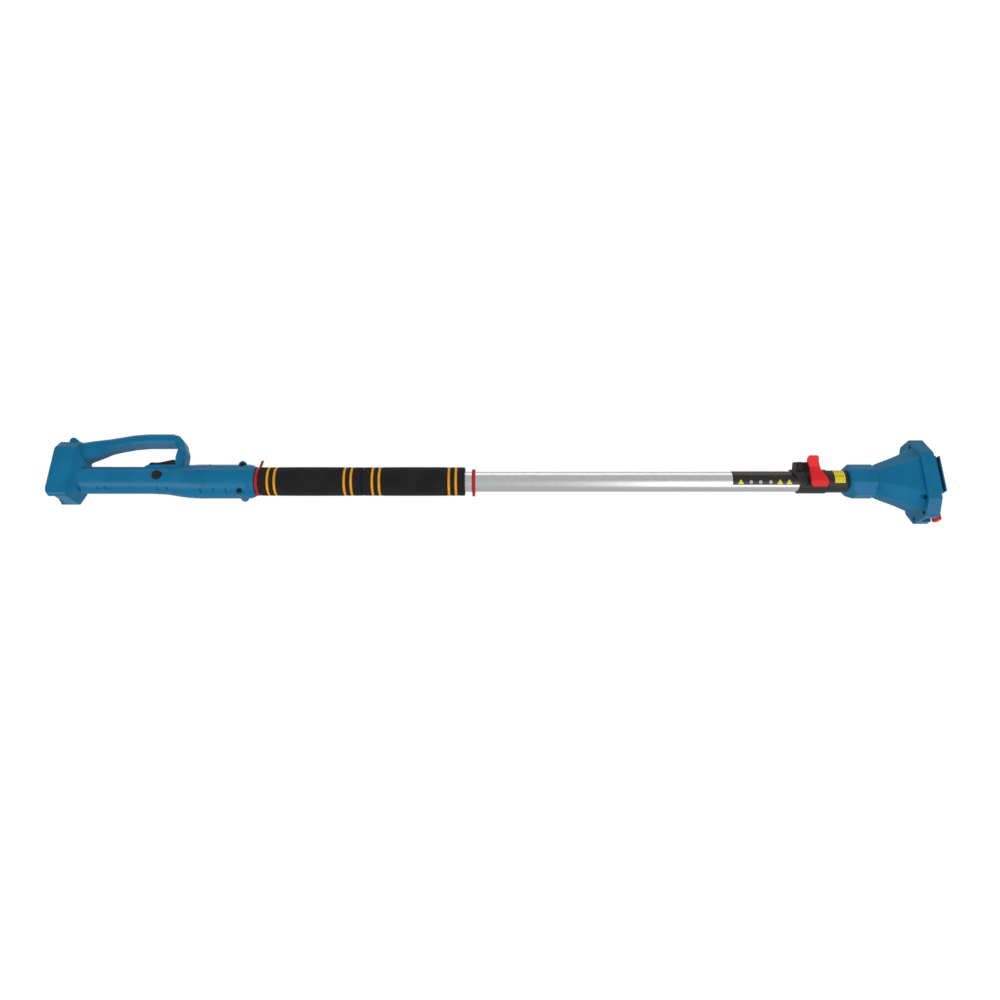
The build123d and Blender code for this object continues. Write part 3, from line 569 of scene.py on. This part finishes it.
def foam_sleeve(name, node):
    """A foam sleeve: rounded ends, a slight swell between its bands, and a channel under each band."""
    low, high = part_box(node)
    outer = high.z
    channels = []
    for start, end in solids("grip_stripes"):
        centre, half = (start.x + end.x) / 2, (end.x - start.x) / 2
        if low.x < centre < high.x:
            channels.append((centre - half - CHANNEL_SIDE, centre + half + CHANNEL_SIDE))

    def rounded(end, inwards, angle):
        """Ring on a rounded end, where the angle is 0 at the end face and a right angle inwards."""
        return (end + inwards * FOAM_CORNER * (1 - cos(angle)), outer - FOAM_CORNER * (1 - sin(angle)))

    rings = [rounded(low.x, 1, pi / 2 * i / CORNER_STEPS) for i in range(CORNER_STEPS)]
    stations = []
    x = low.x + FOAM_CORNER
    while x < high.x - FOAM_CORNER:
        stations.append(x)
        x += STATION_STEP
    stations.append(high.x - FOAM_CORNER)
    for x in stations:
        if any(start - CHANNEL_ROOM < x < end + CHANNEL_ROOM for start, end in channels):
            continue
        share = (x - low.x) / (high.x - low.x)
        rings.append((x, outer + FOAM_BULGE * (sin(pi * share) - BULGE_SUNK)))
    for start, end in channels:
        for inwards, depth in CHANNEL_WALL:
            rings += [(start + inwards, outer - depth), (end - inwards, outer - depth)]
    rings.sort()
    rings += [rounded(high.x, -1, pi / 2 * (1 - i / CORNER_STEPS)) for i in range(CORNER_STEPS + 1)]
    bore = TUBE_RADIUS + FOAM_GAP
    rings += [(high.x, bore), (low.x, bore)]
    mesh = bmesh.new()
    turn(mesh, rings, POLE_START, POLE_WAY, GRIP_STEPS, loop=True)
    obj = piece(name, mesh, "pole", [FOAM], [node], sharp=50)


foam_sleeve("foam_sleeve_rear", "foam_grip_rear")
foam_sleeve("foam_sleeve_front", "foam_grip_front")

BAND_THICKNESS = 1.1 * MM
# The sides are painted brown as shade along the band edges.
BAND_SIDE = 1.15 * MM        # width of each brown side
BAND_CROWN = 0.12 * MM       # height of the yellow crown over the sides, and drop of their shoulders
BAND_SHOULDER = 0.25 * MM    # width of a side's shoulder
BAND_CORNER = 0.45 * MM      # drop from the top to the corner below the shoulder
CROWN_START, CROWN_END = 0.35, 0.65      # the crown's flat top, as shares of the band's width
YELLOW_BELTS = (3, 4, 5)     # between the two sides, counted from the band's rear face


def grip_bands():
    """Raised rubber bands: a yellow crown between two darker sides, whose brown is painted shade."""
    mesh = bmesh.new()
    for low, high in solids("grip_stripes"):
        outer, width = high.z, high.x - low.x
        inner, crown = outer - BAND_THICKNESS, outer + BAND_CROWN
        corner, shoulder = outer - BAND_CORNER, outer - BAND_CROWN
        rings = [(low.x, inner), (low.x, corner), (low.x + BAND_SHOULDER, shoulder),
                 (low.x + BAND_SIDE, outer), (low.x + width * CROWN_START, crown),
                 (low.x + width * CROWN_END, crown), (high.x - BAND_SIDE, outer),
                 (high.x - BAND_SHOULDER, shoulder), (high.x, corner), (high.x, inner)]
        for index, belt in enumerate(turn(mesh, rings, POLE_START, POLE_WAY, GRIP_STEPS, loop=True)):
            for face in belt:
                # Belts outside the crown take the brown of painted shade.
                face.material_index = 0 if index in YELLOW_BELTS else 1
    piece("grip_band_set", mesh, "pole", [STRIPE, STRIPE_SIDE_SHADE], ["grip_stripes"],
          sharp=60)


grip_bands()


# ---- marks on the labels: plain shapes only ------------------------------------------------
MARK_HEIGHT = 0.06 * MM      # above the label's face, and as much below it
LABEL_FILM = 0.15 * MM       # thickness of a label
# Stations of the dark label's marks, from its rear edge. Angles are in degrees from -Y towards +Z.
TRIANGLES = (10.7 * MM, 63.6 * MM, 76.0 * MM)
TRIANGLE_FOOT, TRIANGLE_TIP = 4.2 * MM, 0.6 * MM     # half widths
TRIANGLE_LOW, TRIANGLE_HIGH = -36, -11
DOTS = (24.6 * MM, 37.4 * MM, 51.1 * MM)
DOT_RADIUS, DOT_ANGLE, DOT_HALF_ANGLE, DOT_CORNERS = 2.4 * MM, -24, 10, 16
DASHES = ((5 * MM, 28 * MM), (30 * MM, 52 * MM), (54 * MM, 76 * MM))
DASH_ANGLE, DASH_WIDTH = 19, 4
# The yellow label's lines.
LINE_ANGLES, LINE_WIDTH, LINE_INSET = (34, 6), 3, 1.6 * MM


def wrap(mesh, outline, radius, material_index):
    """Thin patch bent round the pole. The outline is (station, angle in degrees from -Y towards +Z),
    convex, and in order. It is drawn flat, a degree as a millimetre, and then bent."""
    sheet = bmesh.new()
    centre = [sum(point[i] for point in outline) / len(outline) for i in range(2)]
    middle = sheet.verts.new((centre[0], centre[1] * MM, 0))
    rim = [sheet.verts.new((x, angle * MM, 0)) for x, angle in outline]
    for i, vertex in enumerate(rim):
        sheet.faces.new((middle, vertex, rim[(i + 1) % len(rim)]))
    bmesh.ops.subdivide_edges(sheet, edges=sheet.edges, cuts=3, use_grid_fill=True)
    grown = bmesh.ops.extrude_face_region(sheet, geom=sheet.faces[:])
    lifted = {item for item in grown["geom"] if isinstance(item, bmesh.types.BMVert)}
    for vertex in sheet.verts:
        angle = radians(vertex.co.y / MM)
        reach = radius + (MARK_HEIGHT if vertex in lifted else -MARK_HEIGHT)
        vertex.co = Vector((vertex.co.x, -reach * cos(angle), reach * sin(angle)))
    patch = bpy.data.meshes.new("patch")
    sheet.to_mesh(patch)
    sheet.free()
    before = len(mesh.faces)
    mesh.from_mesh(patch)
    bpy.data.meshes.remove(patch)
    mesh.faces.ensure_lookup_table()
    for face in mesh.faces[before:]:
        face.material_index = material_index


def dash(mesh, start, end, angle, width, radius, material_index):
    """Straight mark from one station to another. Its width is in degrees."""
    top = angle + width
    wrap(mesh, [(start, angle), (end, angle), (end, top), (start, top)], radius, material_index)


def strip_marks():
    """A row of plain triangles and dots, and a thin line above them."""
    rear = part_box("info_label")[0].x
    radius = TUBE_RADIUS + LABEL_FILM
    mesh = bmesh.new()
    for offset in TRIANGLES:
        x = rear + offset
        wrap(mesh, [(x - TRIANGLE_FOOT, TRIANGLE_LOW), (x + TRIANGLE_FOOT, TRIANGLE_LOW),
                    (x + TRIANGLE_TIP, TRIANGLE_HIGH), (x - TRIANGLE_TIP, TRIANGLE_HIGH)], radius, 0)
    for offset in DOTS:
        x = rear + offset
        turns = [2 * pi * i / DOT_CORNERS for i in range(DOT_CORNERS)]
        wrap(mesh, [(x + DOT_RADIUS * cos(a), DOT_ANGLE + DOT_HALF_ANGLE * sin(a)) for a in turns],
             radius, 1)
    for start, end in DASHES:
        dash(mesh, rear + start, rear + end, DASH_ANGLE, DASH_WIDTH, radius, 2)
    piece("info_label_marks", mesh, "pole", [FILM_YELLOW, INK_WHITE, INK_RUST])


def ferrule_marks():
    """Two thin lines across the yellow label."""
    low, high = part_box("ferrule_label")
    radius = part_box("tube_ferrule")[1].y + LABEL_FILM
    mesh = bmesh.new()
    for angle in LINE_ANGLES:
        dash(mesh, low.x + LINE_INSET, high.x - LINE_INSET, angle, LINE_WIDTH, radius, 0)
    piece("ferrule_label_marks", mesh, "extension", [INK_BLACK])


strip_marks()
ferrule_marks()


# ---- floor, light and camera ---------------------------------------------------------------
FLOOR_HALF = 12.0
FLOOR_GAP = 0.4 * MM         # between the floor and the lowest point of the object
MIDDLE_X = (CAD_LOW.x + CAD_HIGH.x) / 2
# Name, station along the pole that it faces, azimuth, elevation, distance, (length, width), watts.
# Azimuth 0 is the camera's side. The key lights shine up through the floor, which doesn't stop them.
SOFTBOXES = (
    ("key_left", -1.0, 0, -51, 1.5, (1.5, 0.95), 13),
    ("key_right", 1.9, 0, -51, 1.5, (1.7, 1.5), 13),
    ("top", MIDDLE_X, 0, 73, 2.0, (2.8, 0.5), 7),
    ("back", MIDDLE_X, 180, 48, 2.4, (2.8, 0.9), 8),
)


def floor():
    """Pale floor that shows from above only, so that the low camera sees the object whole. It
    takes the object's shadow, but neither shades the object nor shows in its surfaces."""
    mesh = bmesh.new()
    corners = ((-FLOOR_HALF, -FLOOR_HALF), (FLOOR_HALF, -FLOOR_HALF), (FLOOR_HALF, FLOOR_HALF),
               (-FLOOR_HALF, FLOOR_HALF))
    mesh.faces.new([mesh.verts.new((x, y, CAD_LOW.z - FLOOR_GAP)) for x, y in corners])
    data = bpy.data.meshes.new("floor")
    mesh.to_mesh(data)
    mesh.free()
    look = Finish("floor_pale", specular=0.2)
    clouds = look.spread(look.noise(0.4, detail=3), 0.3, 0.7)
    look.paint(look.mix(clouds, shade(FLOOR_PALE, 0.98), FLOOR_PALE), look.lerp(clouds, 0.6, 0.75))
    clear = look.node("BsdfTransparent")
    both = look.node("MixShader")
    look.put(both.inputs[0], look.node("NewGeometry").outputs["Backfacing"])
    look.put(both.inputs[1], look.shader.outputs[0])
    look.put(both.inputs[2], clear.outputs[0])
    look.put(look.nodes["Material Output"].inputs["Surface"], both.outputs[0])
    data.materials.append(look.material)
    obj = bpy.data.objects.new("floor", data)
    obj.visible_shadow = False
    obj.visible_glossy = False
    obj.visible_diffuse = False
    bpy.context.scene.collection.objects.link(obj)


def softbox(name, x, azimuth, elevation, distance, size, power):
    """Rectangular light that faces a point on the pole, its long side along the pole."""
    turned, raised = radians(azimuth), radians(elevation)
    away = Vector((sin(turned) * cos(raised), -cos(turned) * cos(raised), sin(raised)))
    light = bpy.data.lights.new(name, "AREA")
    light.shape = "RECTANGLE"
    light.size, light.size_y = size
    light.energy = power
    obj = bpy.data.objects.new(name, light)
    obj.location = Vector((x, 0, 0)) + away * distance
    obj.rotation_mode = "QUATERNION"
    obj.rotation_quaternion = away.to_track_quat("Z", "Y")
    bpy.context.scene.collection.objects.link(obj)


def studio():
    """White surroundings for the eye, softer grey ones for the light."""
    world = bpy.data.worlds.new("studio")
    bpy.context.scene.world = world
    world.use_nodes = True
    nodes, links = world.node_tree.nodes, world.node_tree.links
    seen = nodes["Background"]
    seen.inputs["Color"].default_value = (1, 1, 1, 1)
    seen.inputs["Strength"].default_value = 1.0
    glow = nodes.new("ShaderNodeBackground")
    glow.inputs["Color"].default_value = (0.96, 0.98, 1.0, 1)
    glow.inputs["Strength"].default_value = 0.53
    path = nodes.new("ShaderNodeLightPath")
    both = nodes.new("ShaderNodeMixShader")
    links.new(path.outputs["Is Camera Ray"], both.inputs[0])
    links.new(glow.outputs[0], both.inputs[1])
    links.new(seen.outputs[0], both.inputs[2])
    links.new(both.outputs[0], nodes["World Output"].inputs["Surface"])
    for settings in SOFTBOXES:
        softbox(*settings)


def camera():
    """Below the pole's level and in front of its middle, looking up at it."""
    distance, tilt = 1.0928, radians(21)
    target = Vector((0.5947, 0, 0))
    data = bpy.data.cameras.new("camera")
    data.sensor_width = 36
    data.lens = 28.8
    data.shift_y = -0.0185
    data.clip_start, data.clip_end = 0.01, 60
    obj = bpy.data.objects.new("camera", data)
    look = Vector((0, cos(tilt), sin(tilt)))
    obj.location = target - look * distance
    obj.rotation_mode = "QUATERNION"
    obj.rotation_quaternion = look.to_track_quat("-Z", "Y")
    bpy.context.scene.collection.objects.link(obj)
    bpy.context.scene.camera = obj


floor()
studio()
camera()
bpy.context.scene.view_settings.view_transform = "Standard"
bpy.context.scene.view_settings.look = "None"
